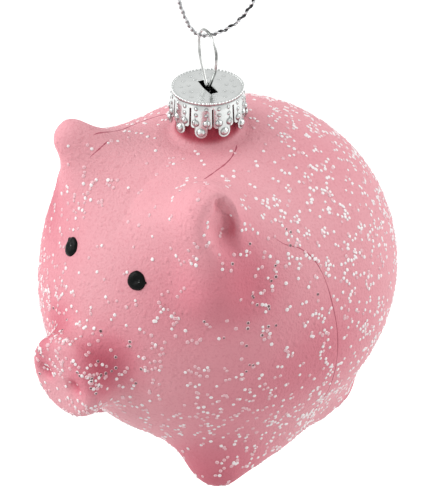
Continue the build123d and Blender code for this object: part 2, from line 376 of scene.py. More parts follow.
def ear_cup(m):
    """What the ears' hollow adds to the field: an oval dent, crisp at its rear, soft in front and below."""
    along, across, out = np.moveaxis((m - EAR_CUP) @ EAR_CUP_AXES.T, -1, 0)
    width = np.where(across > 0, EAR_CUP_REAR, EAR_CUP_FRONT)
    length = np.where(along > 0, EAR_CUP_DOWN, EAR_CUP_UP)
    reach = np.hypot(across / width, along / length)
    crisp = smooth_step(across, *CRISP_ACROSS) * (1 - smooth_step(along, *CRISP_ALONG))
    oval = 1 - smooth_step(reach, EAR_CUP_SOFT + EAR_CUP_CRISP * crisp, 1.0)
    return EAR_CUP_DEPTH * oval * (1 - smooth_step(np.abs(out), *EAR_CUP_FADE))


def form_field(p):
    """The form without its neck: egg, legs, ears with their hollows, snout with its nostrils, soft dents.

    All but the nostrils and the left ear's folds are the same on both sides.
    """
    m = mirrored(p)
    field = egg_field(p)
    for root, end in zip(LEG_ROOTS, LEG_ENDS):
        field = smooth_least(field, round_cone_field(m, root, end, LEG_RADII), LEG_BLEND)
    ear = round_cone_field(m, EAR_ROOT, EAR_TIP, EAR_RADII)
    fold = round_cone_field(m, EAR_FOLD_ROOT, EAR_FOLD_TIP, EAR_FOLD_RADII)
    field = smooth_least(field, smooth_least(ear, fold, EAR_FOLD_BLEND), EAR_BLEND)
    ridge = round_cone_field(p, LEFT_RIDGE_TOP, LEFT_RIDGE_END, LEFT_RIDGE_RADII)
    brow = round_cone_field(p, LEFT_BROW_ROOT, LEFT_BROW_TIP, LEFT_BROW_RADII)
    field = smooth_least(field, smooth_least(ridge, brow, LEFT_FOLD_BLEND), LEFT_FOLD_BLEND)
    field = field + ear_cup(m)
    field = smooth_least(field, snout_field(p), SNOUT_BLEND)
    for nostril in NOSTRILS:
        field = field + bell(p, nostril, NOSTRIL_WIDTH, NOSTRIL_DEPTH)
    for place, width, depth in SOFT_DENTS:
        field = field + bell(m, place, width, depth)
    return field


def form_slope(p, step=0.03):
    """The field's gradient by central differences."""
    steps = np.eye(3) * step
    return np.stack([form_field(p + s) - form_field(p - s) for s in steps], -1) / (2 * step)


def onto_form(p, rounds=3):
    """Points moved onto the form along the field's gradient, by Newton's rule."""
    for _ in range(rounds):
        slope = form_slope(p)
        p = p - slope * (form_field(p) / np.maximum((slope ** 2).sum(-1), 1e-9))[:, None]
    return p


# Shell

FILLET, FILLET_MEET, FILLET_TURN, FILLET_DROP_SHARE = 4.0, 11.35, math.radians(69), 0.936
PROFILE_REACH, RISE_START, RISE_END = 0.8, 14.0, 48.0
EAR_FOOT_REACH, EAR_FOOT_BACK, EAR_LEAN_WIDTH = 9.0, 4.0, 8.0
RAY_BEHIND, RAY_AHEAD, RAY_STEPS, EVENING_ROUNDS = 3.0, 17.0, 41, 14
NECK_FLARE, NECK_COLUMNS, NECK_HOLE = 1.9, 160, 5.9
NECK_SINK, FOOT_SINK, FOOT_SPREAD = 2.5, 0.12, 0.25
# Fades by distance from the neck's axis: the neck's red, partly bare colour and partly painted shadow under
# the cap; and painted shade in the bore
BARE_NECK_SHADOW_FADE, BORE_FADE = (6.2, 6.9), (5.4, 5.9)
UPPER_SIDE, FAR_OFF = 20.0, 99.0

# Soft spots of painted shade and of painted light: place, width and share; the shade spots lie where shade
# falls
PAINTED_SHADE_SPOTS = (
    ((7.3, -43.5, 1.8), 4.6, 0.95), ((23.4, -22.4, 19.0), 6.0, 0.70), ((18.4, -24.0, -34.0), 9.0, 0.95),
    ((25.0, -26.0, -8.0), 11.0, 0.34), ((15.7, -33.3, 15.0), 8.0, 0.32), ((34.0, -8.0, 0.0), 11.0, 0.48),
    ((21.0, 14.0, -32.0), 7.0, 0.70), ((19.0, 10.0, 32.0), 9.0, 0.20), ((22.5, -23.5, 29.5), 3.6, 0.32),
    ((3.8, -46.6, -2.4), 1.3, 0.70))
# Painted light: a paler spot on each ear's front
PAINTED_LIGHT_SPOTS = (((20.4, -28.4, 32.6), 4.0, 0.95),)


def shell_profile(count):
    """Half the form's side outline at even steps: radius and length, outward normal, distance travelled.

    The snout's flat face, its rim's quarter arc, its side, a hollow arc into the egg, the egg's ellipse.
    """
    flat = SNOUT_RADIUS - SNOUT_RIM
    quarter = np.linspace(0, np.pi / 2, 40)
    egg_turn = np.linspace(np.arcsin(FILLET_MEET / BODY_RADIUS), np.pi, 700)
    egg_length = np.where(egg_turn < np.pi / 2, BODY_FRONT, BODY_BACK)
    egg = np.c_[BODY_RADIUS * np.sin(egg_turn), -egg_length * np.cos(egg_turn)]
    root = np.array([SNOUT_RADIUS + FILLET, egg[0, 1] - FILLET * FILLET_DROP_SHARE])
    bend = np.linspace(np.pi, np.pi - FILLET_TURN, 40)
    line = np.concatenate([
        np.c_[np.linspace(0, flat, 30), np.full(30, SNOUT_FACE)],
        np.c_[flat + SNOUT_RIM * np.sin(quarter), SNOUT_FACE + SNOUT_RIM - SNOUT_RIM * np.cos(quarter)][1:],
        np.c_[root[0] + FILLET * np.cos(bend), root[1] + FILLET * np.sin(bend)],
        egg[1:]])
    travel = travel_along(line)
    places = np.linspace(0, travel[-1], count + 2)[1:-1]
    before, after = (at_travel(line, travel, places + step) for step in (-PROFILE_REACH, PROFILE_REACH))
    tangent = unit(after - before)
    return at_travel(line, travel, places), np.c_[tangent[:, 1], -tangent[:, 0]], places


def turned_about(outline, turn):
    """Points of an outline of radius and length, turned about the long axis by each angle."""
    radius, length = outline[:, :1], outline[:, 1:]
    return np.stack([radius * np.cos(turn), length + 0 * turn, radius * np.sin(turn)], -1).reshape(-1, 3)


def lean_to_ears(start, ray):
    """Rays that lean along an ear's axis, by a bell of their start's distance from the ear's foot."""
    for side in (1, -1):
        mirror = np.array([side, 1, 1])
        axis = unit((EAR_TIP - EAR_ROOT) * mirror)
        foot = onto_form((EAR_ROOT * mirror)[None] + axis * EAR_FOOT_REACH, 1)[0] - axis * EAR_FOOT_BACK
        ray = unit(ray + bell(start, foot, EAR_LEAN_WIDTH, 1.0)[:, None] * (axis - ray))
    return ray


def first_way_out(start, ray):
    """Where each ray first leaves the form, on a straight line between its steps before and after."""
    reach = np.linspace(-RAY_BEHIND, RAY_AHEAD, RAY_STEPS)
    values = np.stack([form_field(start + ray * r) for r in reach], -1)
    first = np.maximum(np.argmax(values > 0, -1), 1)
    each = np.arange(len(start))
    low, high = values[each, first - 1], values[each, first]
    share = np.clip(-low / np.where(np.abs(high - low) < 1e-9, 1e-9, high - low), 0, 1)
    return start + ray * (reach[first - 1] + share * (reach[1] - reach[0]))[:, None]


def evened(grid):
    """Inner points of a grid moved half way to the mean of their four neighbours."""
    inner = grid[2:-2]
    around = (np.roll(inner, 1, 1) + np.roll(inner, -1, 1)) / 2
    along = (grid[1:-3] + grid[3:-1]) / 2
    moved = grid.copy()
    moved[2:-2] += 0.5 * ((around + along) / 2 - inner)
    return moved


def shell_grid(rings, columns):
    """Points of the form on a grid: where rays along the side outline's normals, turned about, leave it.

    The outline's middle rises from the snout's height to the body's. Near an ear the rays lean along it.
    Newton's rule brings the points onto the form, and rounds of evening out slide them over it.
    """
    outline, normal, places = shell_profile(rings)
    turn = np.linspace(0, 2 * np.pi, columns, endpoint=False)
    height = SNOUT_HEIGHT * (1 - smooth_step(places, RISE_START, RISE_END))
    start = turned_about(outline, turn) + np.repeat(height, columns)[:, None] * UP
    ray = lean_to_ears(start, turned_about(normal, turn))
    points = onto_form(first_way_out(start, ray), 2)
    for _ in range(EVENING_ROUNDS):
        points = onto_form(evened(points.reshape(rings, columns, 3)).reshape(-1, 3), 1)
    return onto_form(points, 2)


def neck_points():
    """The neck: a ring of wall turned about the neck's axis, its foot flared onto the body by a quarter arc.

    Rows of the foot lie at a height above the body's own surface, rows of the lip at their own height.
    Two rows sunk below the surface close the wall.
    """
    arc = np.linspace(0, np.pi / 2, 12)
    foot_radius = NECK_RADIUS + NECK_FLARE - NECK_FLARE * np.sin(arc)
    foot_lift = NECK_FLARE - NECK_FLARE * np.cos(arc)
    lip = np.linspace(0, np.pi, 9)
    half_wall = (NECK_RADIUS - BORE_RADIUS) / 2
    lip_radius = BORE_RADIUS + half_wall + half_wall * np.cos(lip)
    lip_height = NECK_TOP - half_wall + half_wall * np.sin(lip)
    turn = np.linspace(0, 2 * np.pi, NECK_COLUMNS, endpoint=False)

    def ring(radius, height):
        return np.stack([radius * np.cos(turn), NECK_AXIS + radius * np.sin(turn), height + 0 * turn], -1)

    def on_body(radius, lift):
        p = ring(radius, 0.0)
        p[:, 2] = BODY_RADIUS * np.sqrt(1 - (p[:, 0] / BODY_RADIUS) ** 2 - (p[:, 1] / BODY_FRONT) ** 2)
        for _ in range(4):
            p[:, 2] -= form_field(p)
        return p + UP * lift

    rows = [on_body(foot_radius[0] + FOOT_SPREAD, -FOOT_SINK)]
    rows += [on_body(radius, lift) for radius, lift in zip(foot_radius, foot_lift)]
    rows += [ring(radius, height) for radius, height in zip(lip_radius, lip_height)]
    rows += [on_body(BORE_RADIUS, -NECK_SINK), on_body(foot_radius[0] + FOOT_SPREAD, -NECK_SINK)]
    return np.stack(rows)


def from_neck(p):
    """Distance of points from the neck's axis, with those of the body's lower part counted as far off."""
    return np.hypot(p[:, 0], p[:, 1] - NECK_AXIS) + np.where(p[:, 2] > UPPER_SIDE, 0.0, FAR_OFF)


def painted_spot_share(p, spots):
    """How much painted shade and light soft spots lay on, alike on both sides: the sum of their bells, at
    most 1.
    """
    m = mirrored(p)
    return np.minimum(sum(bell(m, place, width, share) for place, width, share in spots), 1.0)


def build_shell(settings):
    """The moulded shell: the form's grid with its two poles, open inside the neck's wall, and the neck."""
    rings, columns = settings.rings, settings.columns
    grid = shell_grid(rings, columns)
    poles = onto_form(np.array([[0.0, SNOUT_FACE, SNOUT_HEIGHT], [0.0, BODY_BACK, 0.0]]))
    points = np.concatenate([grid, poles])
    quads = grid_faces(rings, columns)
    quads = quads[~(from_neck(points) < NECK_HOLE)[quads].all(1)]
    first = np.arange(columns)
    front = fan_faces(first, rings * columns)
    back = fan_faces(first + (rings - 1) * columns, rings * columns + 1)
    body = [outward(points, faces, np.zeros(3)) for faces in (quads, front, back)]
    neck = neck_points()
    flat = neck.reshape(-1, 3)
    neck_faces = grid_faces(len(neck) + 1, NECK_COLUMNS) % len(flat)
    axis = np.array([0.0, NECK_AXIS, 0.0])
    wall_radius, wall_height = (NECK_RADIUS + BORE_RADIUS) / 2, BODY_RADIUS + NECK_RISE / 4
    wall_middle = axis + unit((flat - axis) * [1, 1, 0]) * wall_radius + UP * wall_height
    own, faces = joined([(points, body), (flat, [outward(flat, neck_faces, wall_middle)])])
    # Shares on each point: painted shade spots, painted light, the neck's red (bare colour and painted
    # shadow) and painted shade in the bore
    values = {
        "painted_shade": painted_spot_share(own, PAINTED_SHADE_SPOTS),
        "painted_light": painted_spot_share(own, PAINTED_LIGHT_SPOTS),
        "bare_neck_and_shadow": 1 - smooth_step(from_neck(own), *BARE_NECK_SHADOW_FADE),
        "bore_shade": 1 - smooth_step(from_neck(own), *BORE_FADE),
    }
    material = pink_material(settings)
    piece = make_piece("pig_shell", own + BODY_CENTRE, faces, "pig", material, values)
    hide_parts("body_shell")
    return grid.reshape(rings, columns, 3)


# Parting line

LEFT_HEAD_SEAM = np.array([
    (5.6, -2.2, 35.7), (6.5, -3.2, 35.3), (7.9, -5.0, 34.8), (8.8, -6.4, 34.5), (9.65, -8.8, 34.1),
    (10.05, -11.0, 33.9), (10.3, -13.6, 33.85), (10.7, -16.4, 34.0), (11.2, -19.2, 34.4)])
RIGHT_HEAD_SEAM = np.array([
    (-6.4, -4.4, 36.0), (-9.5, -4.4, 34.6), (-12.9, -5.0, 33.4), (-15.0, -9.3, 32.5), (-14.6, -14.0, 33.8),
    (-14.4, -18.5, 34.5), (-14.9, -23.7, 35.0)])
# A crease on the right ear, drawn with the parting line's dark pink as painted shade
RIGHT_EAR_CREASE = np.array([(-12.3, -19.2, 34.6), (-11.6, -23.5, 34.3), (-12.1, -26.4, 32.9)])
FLANK_SEAM = np.array([
    (23.5, -15.5, 27.0), (25.2, -14.2, 25.2), (26.7, -12.6, 23.6), (28.0, -9.9, 21.9), (29.8, -8.0, 19.6),
    (32.1, -6.9, 15.9), (34.5, -6.4, 9.6), (35.8, -6.0, 2.6), (35.1, -5.6, -7.5), (31.8, -5.0, -16.5),
    (25.5, -4.2, -26.5), (18.5, -3.2, -33.5), (9.0, -2.4, -35.0), (0.0, -2.2, -36.0)])
SEAM_RISE, SEAM_SINK, SEAM_BED, SEAM_POINTS = 0.055, 0.02, 0.004, 180

# Each line's route, its share of the setting's width, and the shares of it that fade at its start and end
SEAMS = (
    (LEFT_HEAD_SEAM, 1.25, 0.01, 0.12), (RIGHT_HEAD_SEAM, 1.7, 0.02, 0.06),
    (RIGHT_EAR_CREASE, 1.2, 0.30, 0.40), (FLANK_SEAM, 1.0, 0.10, 0.02),
    (FLANK_SEAM * [-1, 1, 1], 1.0, 0.10, 0.02))


def seam_strip(route, width, fade_start, fade_end):
    """A low bead along a route on the form: five points across, a cosine rise, faded out at its ends."""
    line = onto_form(smooth_line(route, SEAM_POINTS))
    normal = unit(form_slope(line))
    tangent = unit(np.gradient(line, axis=0))
    side = unit(np.cross(normal, tangent))
    travel = np.linspace(0, 1, len(line))
    wander = 0.75 + 0.25 * np.sin(41 * travel) * np.sin(17 * travel + 1.3)
    share = np.minimum(smooth_step(travel, 0, fade_start), smooth_step(1 - travel, 0, fade_end)) * wander
    across = np.linspace(-1, 1, 5)
    lift = SEAM_RISE * np.cos(across * np.pi / 2) - SEAM_SINK
    offset = side[:, None] * (across * width / 2)[:, None] + normal[:, None] * lift[:, None]
    return line[:, None] + offset * share[:, None, None] - normal[:, None] * SEAM_BED


def build_seam(settings):
    """The mould's parting line: beads over the head, a crease in painted shade, and beads from each ear
    round the belly.
    """
    width = settings.seam_width / MM
    strips = []
    for route, breadth, fade_start, fade_end in SEAMS:
        strip = seam_strip(route, width * breadth, fade_start, fade_end)
        flat = strip.reshape(-1, 3)
        quads = grid_faces(*strip.shape[:2], around=False)
        strips.append((flat, [outward(flat, quads, np.zeros(3))]))
    points, faces = joined(strips)
    make_piece("parting_line", points + BODY_CENTRE, faces, "pig", seam_material(settings))


# Glitter

PATCH_COUNT, PATCH_RADIUS, PATCH_WIDTH, PATCH_SHARE = 70, 38.0, 5.5, 0.4
EYE_MIDDLE, EYE_CLEAR_CELL, EYE_CLEAR = np.array([8.9, -34.4, 17.8]), 2.9, 2.6
CAP_CLEAR_CELL, CAP_CLEAR = 7.6, 7.4
LONE_SHARE, FLAKE_TILT = 0.68, 0.10
# Spots where flakes may get a painted dark reflection in their middle: below the near ear and at the snout's
# root
SHADED_FLAKES = (((26.0, -21.5, 14.5), 7.0, 0.8), ((7.3, -43.5, 1.8), 3.6, 1.0))

# A flake's rings from foot to shoulder, as shares of its radius and heights, and its top's height
FLAKE_SIDES, FLAKE_RINGS, FLAKE_TOP = 6, ((1.03, -0.08), (1.0, 0.07), (0.72, 0.13)), 0.15


def glitter_density(p):
    """How thick the flakes lie: thin on the brow, thicker on the cheeks, thickest at rear and snout."""
    across, along, up = p.T
    behind = smooth_step(along + 0.12 * up, -22.0, -6.0)
    low = smooth_step(-up, -14.0, 2.0)
    snout = smooth_step(-along, 40.0, 43.0)
    crown = smooth_step(up, 30.0, 35.0)
    face = smooth_step(-up, -18.0, -8.0) * smooth_step(-across, -14.0, -2.0)
    feet = smooth_step(-up, 20.0, 29.0) * smooth_step(along, -8.0, 4.0)
    brow = smooth_step(up, 29.0, 33.0) * smooth_step(-along, -6.0, 2.0)
    rear = 0.72 * behind * (1 - 0.45 * crown) * (1 - 0.6 * feet)
    front = (0.34 * low + 0.55 * face) * (1 - behind)
    return (0.28 + rear + front + 0.38 * snout) * (1 - 0.55 * brow)


def from_eyes(p):
    """Distance of points from the nearer eye."""
    return np.linalg.norm(mirrored(p) - EYE_MIDDLE, axis=1)


def flake_places(grid, count, rng):
    """Seeded places on the shell: cells drawn by area, density and patches, then a neighbour for some."""
    rings, columns = grid.shape[:2]
    quads = grid_faces(rings, columns)
    a, b, c, d = (grid.reshape(-1, 3)[quads[:, k]] for k in range(4))
    middle = (a + b + c + d) / 4
    area = np.linalg.norm(np.cross(c - a, d - b), axis=1) / 2
    patches = unit(rng.normal(size=(PATCH_COUNT, 3))) * PATCH_RADIUS
    strengths = rng.uniform(0.3, 1.5, PATCH_COUNT)
    patchy = sum(bell(middle, patch, PATCH_WIDTH, strength) for patch, strength in zip(patches, strengths))
    weight = area * glitter_density(middle) * (1.0 + PATCH_SHARE * patchy)
    weight[(from_eyes(middle) < EYE_CLEAR_CELL) | (from_neck(middle) < CAP_CLEAR_CELL)] = 0
    lone = int(count * LONE_SHARE)
    cell = rng.choice(len(quads), size=lone, p=weight / weight.sum())
    u, v = rng.uniform(size=(2, lone, 1))
    first = (a[cell] * (1 - u) + b[cell] * u) * (1 - v) + (d[cell] * (1 - u) + c[cell] * u) * v
    partner = first[rng.integers(0, lone, count - lone)]
    step = unit(rng.normal(size=partner.shape))
    normal = unit(form_slope(partner))
    step = unit(step - normal * (step * normal).sum(1, keepdims=True))
    second = partner + step * rng.uniform(0.72, 1.15, (len(partner), 1))
    places = onto_form(np.concatenate([first, second]))
    return places[(from_eyes(places) > EYE_CLEAR) & (from_neck(places) > CAP_CLEAR)]


def build_glitter(grid, settings):
    """Glitter flakes: low domed discs of six sides, tilted a little, with tones from 0 white to 1 dark.

    A flake's edge and middle have their own tones, so that clear and dark ones show a paler rim.
    """
    rng = np.random.default_rng(settings.seed)
    places = flake_places(grid, settings.count, rng)
    count = len(places)
    normal = unit(form_slope(places) + rng.normal(scale=FLAKE_TILT, size=places.shape))
    right = unit(np.cross(normal, unit(rng.normal(size=places.shape))))
    front = np.cross(normal, right)
    radius = settings.flake_size / MM / 2 * rng.uniform(0.78, 1.12, count)
    turn = np.linspace(0, 2 * np.pi, FLAKE_SIDES, endpoint=False)[:, None]
    circle = (np.cos(turn) * right[:, None] + np.sin(turn) * front[:, None]) * radius[:, None, None]
    rings = [places[:, None] + circle * share + normal[:, None] * lift for share, lift in FLAKE_RINGS]
    points = np.concatenate([*rings, places[:, None] + normal[:, None] * FLAKE_TOP], 1)
    top_ring = np.arange(FLAKE_SIDES) + 2 * FLAKE_SIDES
    walls, top = grid_faces(len(FLAKE_RINGS), FLAKE_SIDES), fan_faces(top_ring, 3 * FLAKE_SIDES)[:, ::-1]
    starts = (np.arange(count) * points.shape[1])[:, None, None]
    faces = [(group + starts).reshape(-1, group.shape[1]) for group in (walls, top)]
    white = rng.uniform(size=count) < 0.38 + 0.40 * smooth_step(places[:, 1], -26.0, -10.0)
    # Dark middles are painted dark reflection, given only to flakes in the shaded spots
    dark = rng.uniform(size=count) < 0.48 * painted_spot_share(places, SHADED_FLAKES)
    edge_tone = np.where(white, 0.1, 0.62) + rng.uniform(0, 0.12, count)
    middle_tone = np.where(dark, 1.0, np.where(white, edge_tone, 0.84))
    tone = np.repeat(np.stack([edge_tone, middle_tone], -1), [2 * FLAKE_SIDES, FLAKE_SIDES + 1], axis=1)
    make_piece("glitter", points.reshape(-1, 3) + BODY_CENTRE, faces, "pig",
               glitter_material(settings), {"flake_tone": tone.ravel()})


# Eyes

# Each eye's place across and up, the phase of its uneven edge and the angle of its spur
EYES = {"left_eye": (8.5, 18.0, 0.7, 0.05), "right_eye": (-9.2, 17.7, 2.9, 2.6)}
EYE_RINGS, EYE_COLUMNS, EYE_SINK, EYE_TALL = 22, 72, 0.10, 1.04
SPUR_REACH, SPUR_WIDTH = 0.15, 0.006
# Painted highlight on a dab: its spot across and up as shares of the radius, its width, and its share at the
# top point
HIGHLIGHT_ACROSS, HIGHLIGHT_UP, HIGHLIGHT_WIDTH, HIGHLIGHT_TOP = 0.22, 0.12, 0.20, 0.8


def eye_dab(name, settings):
    """A dab of thick paint on a polar grid: an uneven edge, a rise of (1 - s^4)^0.6 and a slight dimple.

    Also gives each point's share of painted highlight: a bell about a spot up and to the side of the middle.
    """
    across, height, phase, spur_turn = EYES[name]
    depth = BODY_FRONT * math.sqrt(1 - (across ** 2 + height ** 2) / BODY_RADIUS ** 2)
    centre = onto_form(np.array([[across, -depth, height]]))
    normal = unit(form_slope(centre))[0]
    right = unit(np.cross(UP, normal))
    up = np.cross(normal, right)
    turn = np.linspace(0, 2 * np.pi, EYE_COLUMNS, endpoint=False)
    edge = 1 + 0.03 * np.cos(2 * turn + phase) + 0.025 * np.cos(3 * turn + 2 * phase)
    edge = edge + 0.012 * np.cos(7 * turn)
    edge = edge + SPUR_REACH * np.exp(-((np.cos(turn - spur_turn) - 1) / SPUR_WIDTH) ** 2)
    share = np.r_[np.linspace(1.03, 1, 3), np.linspace(0.985, 0.04, EYE_RINGS - 3)]
    reach = settings.radius / MM * share[:, None] * edge
    circle = np.cos(turn)[:, None] * right + np.sin(turn)[:, None] * up * EYE_TALL
    places = onto_form((centre + reach[..., None] * circle).reshape(-1, 3))
    share, around = np.repeat(share, EYE_COLUMNS), np.tile(turn, EYE_RINGS)
    s = np.clip(share, 0, 1)
    rise = settings.rise / MM * (1 - s ** 4) ** 0.6 * (1 - 0.16 * np.exp(-(s / 0.35) ** 2))
    rise = rise * (1 + 0.10 * np.cos(2 * around + 1.1 + phase) * s)
    rise = np.where(share > 1, -EYE_SINK, rise)
    points = places + unit(form_slope(places)) * rise[:, None]
    points = np.concatenate([points, points[-EYE_COLUMNS:].mean(0)[None]])
    last_ring = np.arange(EYE_COLUMNS) + (EYE_RINGS - 1) * EYE_COLUMNS
    groups = (grid_faces(EYE_RINGS, EYE_COLUMNS), fan_faces(last_ring, EYE_RINGS * EYE_COLUMNS))
    on_dab = np.stack([np.cos(around) * s, np.sin(around) * s], -1)
    painted_highlight = bell(on_dab, [HIGHLIGHT_ACROSS, HIGHLIGHT_UP], HIGHLIGHT_WIDTH, 1.0)
    return points, [outward(points, faces, np.zeros(3)) for faces in groups], np.r_[painted_highlight, HIGHLIGHT_TOP]


def build_eyes(settings):
    """Both eyes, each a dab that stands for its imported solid."""
    material = paint_material(settings)
    for name in EYES:
        points, faces, painted_highlight = eye_dab(name, settings)
        piece = make_piece(name + "_dab", points + BODY_CENTRE, faces, "pig", material,
                           {"painted_highlight": painted_highlight})
        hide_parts(name)


# Crown cap

CAP_RADIUS, CAP_FLARE, CAP_SKIRT = 7.15, 0.50, 5.4
TONGUE_DROP, TONGUE_RADIUS = 2.0, 1.2
SHOULDER_SLOPE, SHOULDER_START, SHOULDER_END = 0.5, 1.7, 2.25
SLOT_LENGTH, SLOT_WIDTH, SLIT_HALF, SLIT_TOP = 5.7, 1.6, 0.15, 1.3
DISC_INSET, DISC_DISH, SLOT_ROLL = 0.42, 0.10, 0.22
RIM_INSET, RIM_ROLL, RIM_RISE, RIM_DROP = 0.20, 0.24, 0.20, 0.06
RIM_TURN, RIM_BEADS, RIM_BEAD_SHARE = math.radians(215), 60, 0.30
SKIRT_TOP, SKIRT_INSET, TAB_CROWN, TAB_HALF = 0.42, 0.16, 0.16, 2.1
# Painted shade rings about the bosses' feet: gap and width; the dots' share; the depth where the band under
# the rim ends
SHADE_RING_GAP, SHADE_RING_WIDTH, DOT_SHADE_SHARE, RIM_SHADE_END = 0.03, 0.13, 0.42, 0.95

# Bosses on a tab: place across and down from the cap's top, radius and height
BEADS = (
    (-1.02, 1.25, 0.30, 0.16), (1.02, 1.25, 0.30, 0.16), (-1.02, 2.55, 0.32, 0.18), (1.02, 2.55, 0.32, 0.18),
    (-1.08, 4.25, 0.62, 0.40), (1.08, 4.25, 0.62, 0.40), (0.0, 6.15, 0.74, 0.50))

# Rings of dots on the top disc: the ring's radius and its number of dots
DISC_RINGS, DOT_RADIUS, DOT_HEIGHT = ((5.25, 14), (3.75, 9)), 0.34, 0.17


def disc_dots():
    """The top disc's dots as bosses, each ring begun at an angle of its own radius in millimetres."""
    turns = [(ring, 2 * math.pi * k / count + ring) for ring, count in DISC_RINGS for k in range(count)]
    return [(ring * math.cos(turn), ring * math.sin(turn), DOT_RADIUS, DOT_HEIGHT) for ring, turn in turns]


def boss_rise(x, y, bosses):
    """Height of half-ball bosses on a flat sheet, and how near a place is to a boss's foot, by a bell, for
    painted shade.
    """
    shape = np.broadcast(x, y).shape
    rise, foot = np.zeros(shape), np.zeros(shape)
    for boss_x, boss_y, radius, height in bosses:
        gap = np.hypot(x - boss_x, y - boss_y)
        rise = rise + height * np.sqrt(np.maximum(1 - (gap / radius) ** 2, 0))
        foot = np.maximum(foot, np.exp(-((gap - radius - SHADE_RING_GAP) / SHADE_RING_WIDTH) ** 2))
    return rise, foot


def tab_edge(a):
    """Depth of a tab's lower edge at a distance from its middle: sloped shoulders and a round tongue."""
    round_end = np.sqrt(np.maximum(TONGUE_RADIUS ** 2 - a * a, 0.0))
    shoulder = CAP_SKIRT - SHOULDER_SLOPE * smooth_step(np.abs(a), SHOULDER_START, SHOULDER_END)
    tongue = CAP_SKIRT + TONGUE_DROP - TONGUE_RADIUS + round_end
    return np.maximum(shoulder, np.where(np.abs(a) < TONGUE_RADIUS, tongue, 0))


def cap_columns(tabs):
    """Column angles about the cap and from their tab's middle: a slit, then even steps over a tab."""
    half = math.pi / tabs
    slit = SLIT_HALF / CAP_RADIUS
    one = np.r_[-half, np.linspace(-half + slit, half - slit, 40)]
    turn = (np.arange(tabs)[:, None] * 2 * half + one).ravel() + WIRE_TURN
    return turn, np.tile(one, tabs)


def cap_grid(tabs):
    """The cap's outer sheet on a grid: rows run from the slot over the top disc and rim and down the tabs.

    Top rows lie between the slot's oblong and the disc's edge. The rim is a beaded half round. Skirt rows
    share out the depth to the tab's lower edge, at a flared radius plus the bosses' half balls. Also gives
    the columns' angles from their tab's middle, and how deep each point lies in a crevice, from 0 to 1.
    """
    turn, local = cap_columns(tabs)
    along_slot = np.maximum(np.abs(np.cos(turn - WIRE_TURN)), 1e-6)
    across_slot = np.maximum(np.abs(np.sin(turn - WIRE_TURN)), 1e-6)
    slot = np.minimum(SLOT_LENGTH / 2 / along_slot, SLOT_WIDTH / 2 / across_slot)
    share = np.linspace(0, 1, 40)[:, None]
    disc = slot + (CAP_RADIUS - DISC_INSET - slot) * share
    dots, dot_foot = boss_rise(disc * np.cos(turn), disc * np.sin(turn), disc_dots())
    disc_height = dots - DISC_DISH * np.sin(np.pi * share) - SLOT_ROLL * np.exp(-(share / 0.03) ** 2)
    roll = (np.linspace(0.12, 1, 9) * RIM_TURN)[:, None]
    beaded = 1 + RIM_BEAD_SHARE * np.cos(RIM_BEADS * turn)
    rim = CAP_RADIUS - RIM_INSET - RIM_ROLL * np.cos(roll) * beaded
    rim_height = RIM_RISE * np.sin(roll) * beaded - RIM_DROP
    across = local * CAP_RADIUS
    depth = SKIRT_TOP + (tab_edge(across) - SKIRT_TOP) * np.linspace(0, 1, 58)[:, None]
    bulge, bead_foot = boss_rise(across, depth, BEADS)
    crown = TAB_CROWN * (1 - (across / TAB_HALF) ** 2) * smooth_step(depth, 0.4, 1.6)
    flare = CAP_FLARE * depth / (CAP_SKIRT + TONGUE_DROP)
    skirt = CAP_RADIUS - SKIRT_INSET + flare + bulge + crown
    radius = np.concatenate([disc, rim, skirt])
    height = np.concatenate([disc_height, rim_height, -depth])
    # Painted shade: rings at the feet of the top's dots and the tabs' beads, and a band under the rim
    under_rim_shade = 1 - smooth_step(depth, SKIRT_TOP, RIM_SHADE_END)
    crevice = np.concatenate([DOT_SHADE_SHARE * dot_foot, 0 * rim, np.maximum(bead_foot, under_rim_shade)])
    return np.stack([radius * np.cos(turn), radius * np.sin(turn), height], -1), local, crevice


def build_cap(settings):
    """The stamped cap: its sheet without the slits' faces, thickened inwards."""
    grid, local, crevice = cap_grid(settings.tabs)
    rows, columns = grid.shape[:2]
    points = grid.reshape(-1, 3) + UP * CAP_TOP
    quads = grid_faces(rows, columns)
    slit_column = np.isclose(local, -math.pi / settings.tabs)
    open_face = slit_column[quads % columns].any(1) & (points[quads][..., 2].mean(1) < CAP_TOP - SLIT_TOP)
    quads = outward(points, quads[~open_face], UP * (CAP_TOP - CAP_SKIRT / 2))
    piece = make_piece("stamped_cap", points, [quads], "cap", cap_material(settings),
                       {"crevice": crevice.ravel()})
    sheet = piece.modifiers.new("Sheet", "SOLIDIFY")
    sheet.thickness = settings.sheet
    sheet.offset = -1.0
    sheet.use_even_offset = False
    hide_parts("crown_cap")


# Hanger and cord

PLY_STEP, PLY_SIDES, PLY_RIDGES = 0.16, 15, 5
PLY_OFFSET_SHARE, PLY_RADIUS_SHARE, RIDGE_SHARE, PLY_END = 0.24, 0.245, 0.13, 0.1
DARK_REFLECTION_SHARE = 0.55
KNOT_TURNS, KNOT_RADIUS, KNOT_SWELL, KNOT_FOOT, KNOT_HEIGHT = 2.75, 0.82, 0.10, 0.75, 2.35
TAIL_FOOT, TAIL_HEIGHT, TAIL_DROOP, TAIL_GAP, TAIL_SPREAD = 1.6, 7.1, 0.25, 0.35, 2.35

# The way that each of the cord's two ends leans and how far it curls
TAILS = ((1.0, 0.35), (-1.0, -0.55))


def strand_frames(points):
    """Tangents, and two normals of which the first stays as near as can be to the wire's direction."""
    tangent = unit(np.gradient(points, axis=0))
    first = unit(ALONG_WIRE - tangent * (tangent @ ALONG_WIRE)[:, None])
    return tangent, first, np.cross(tangent, first)


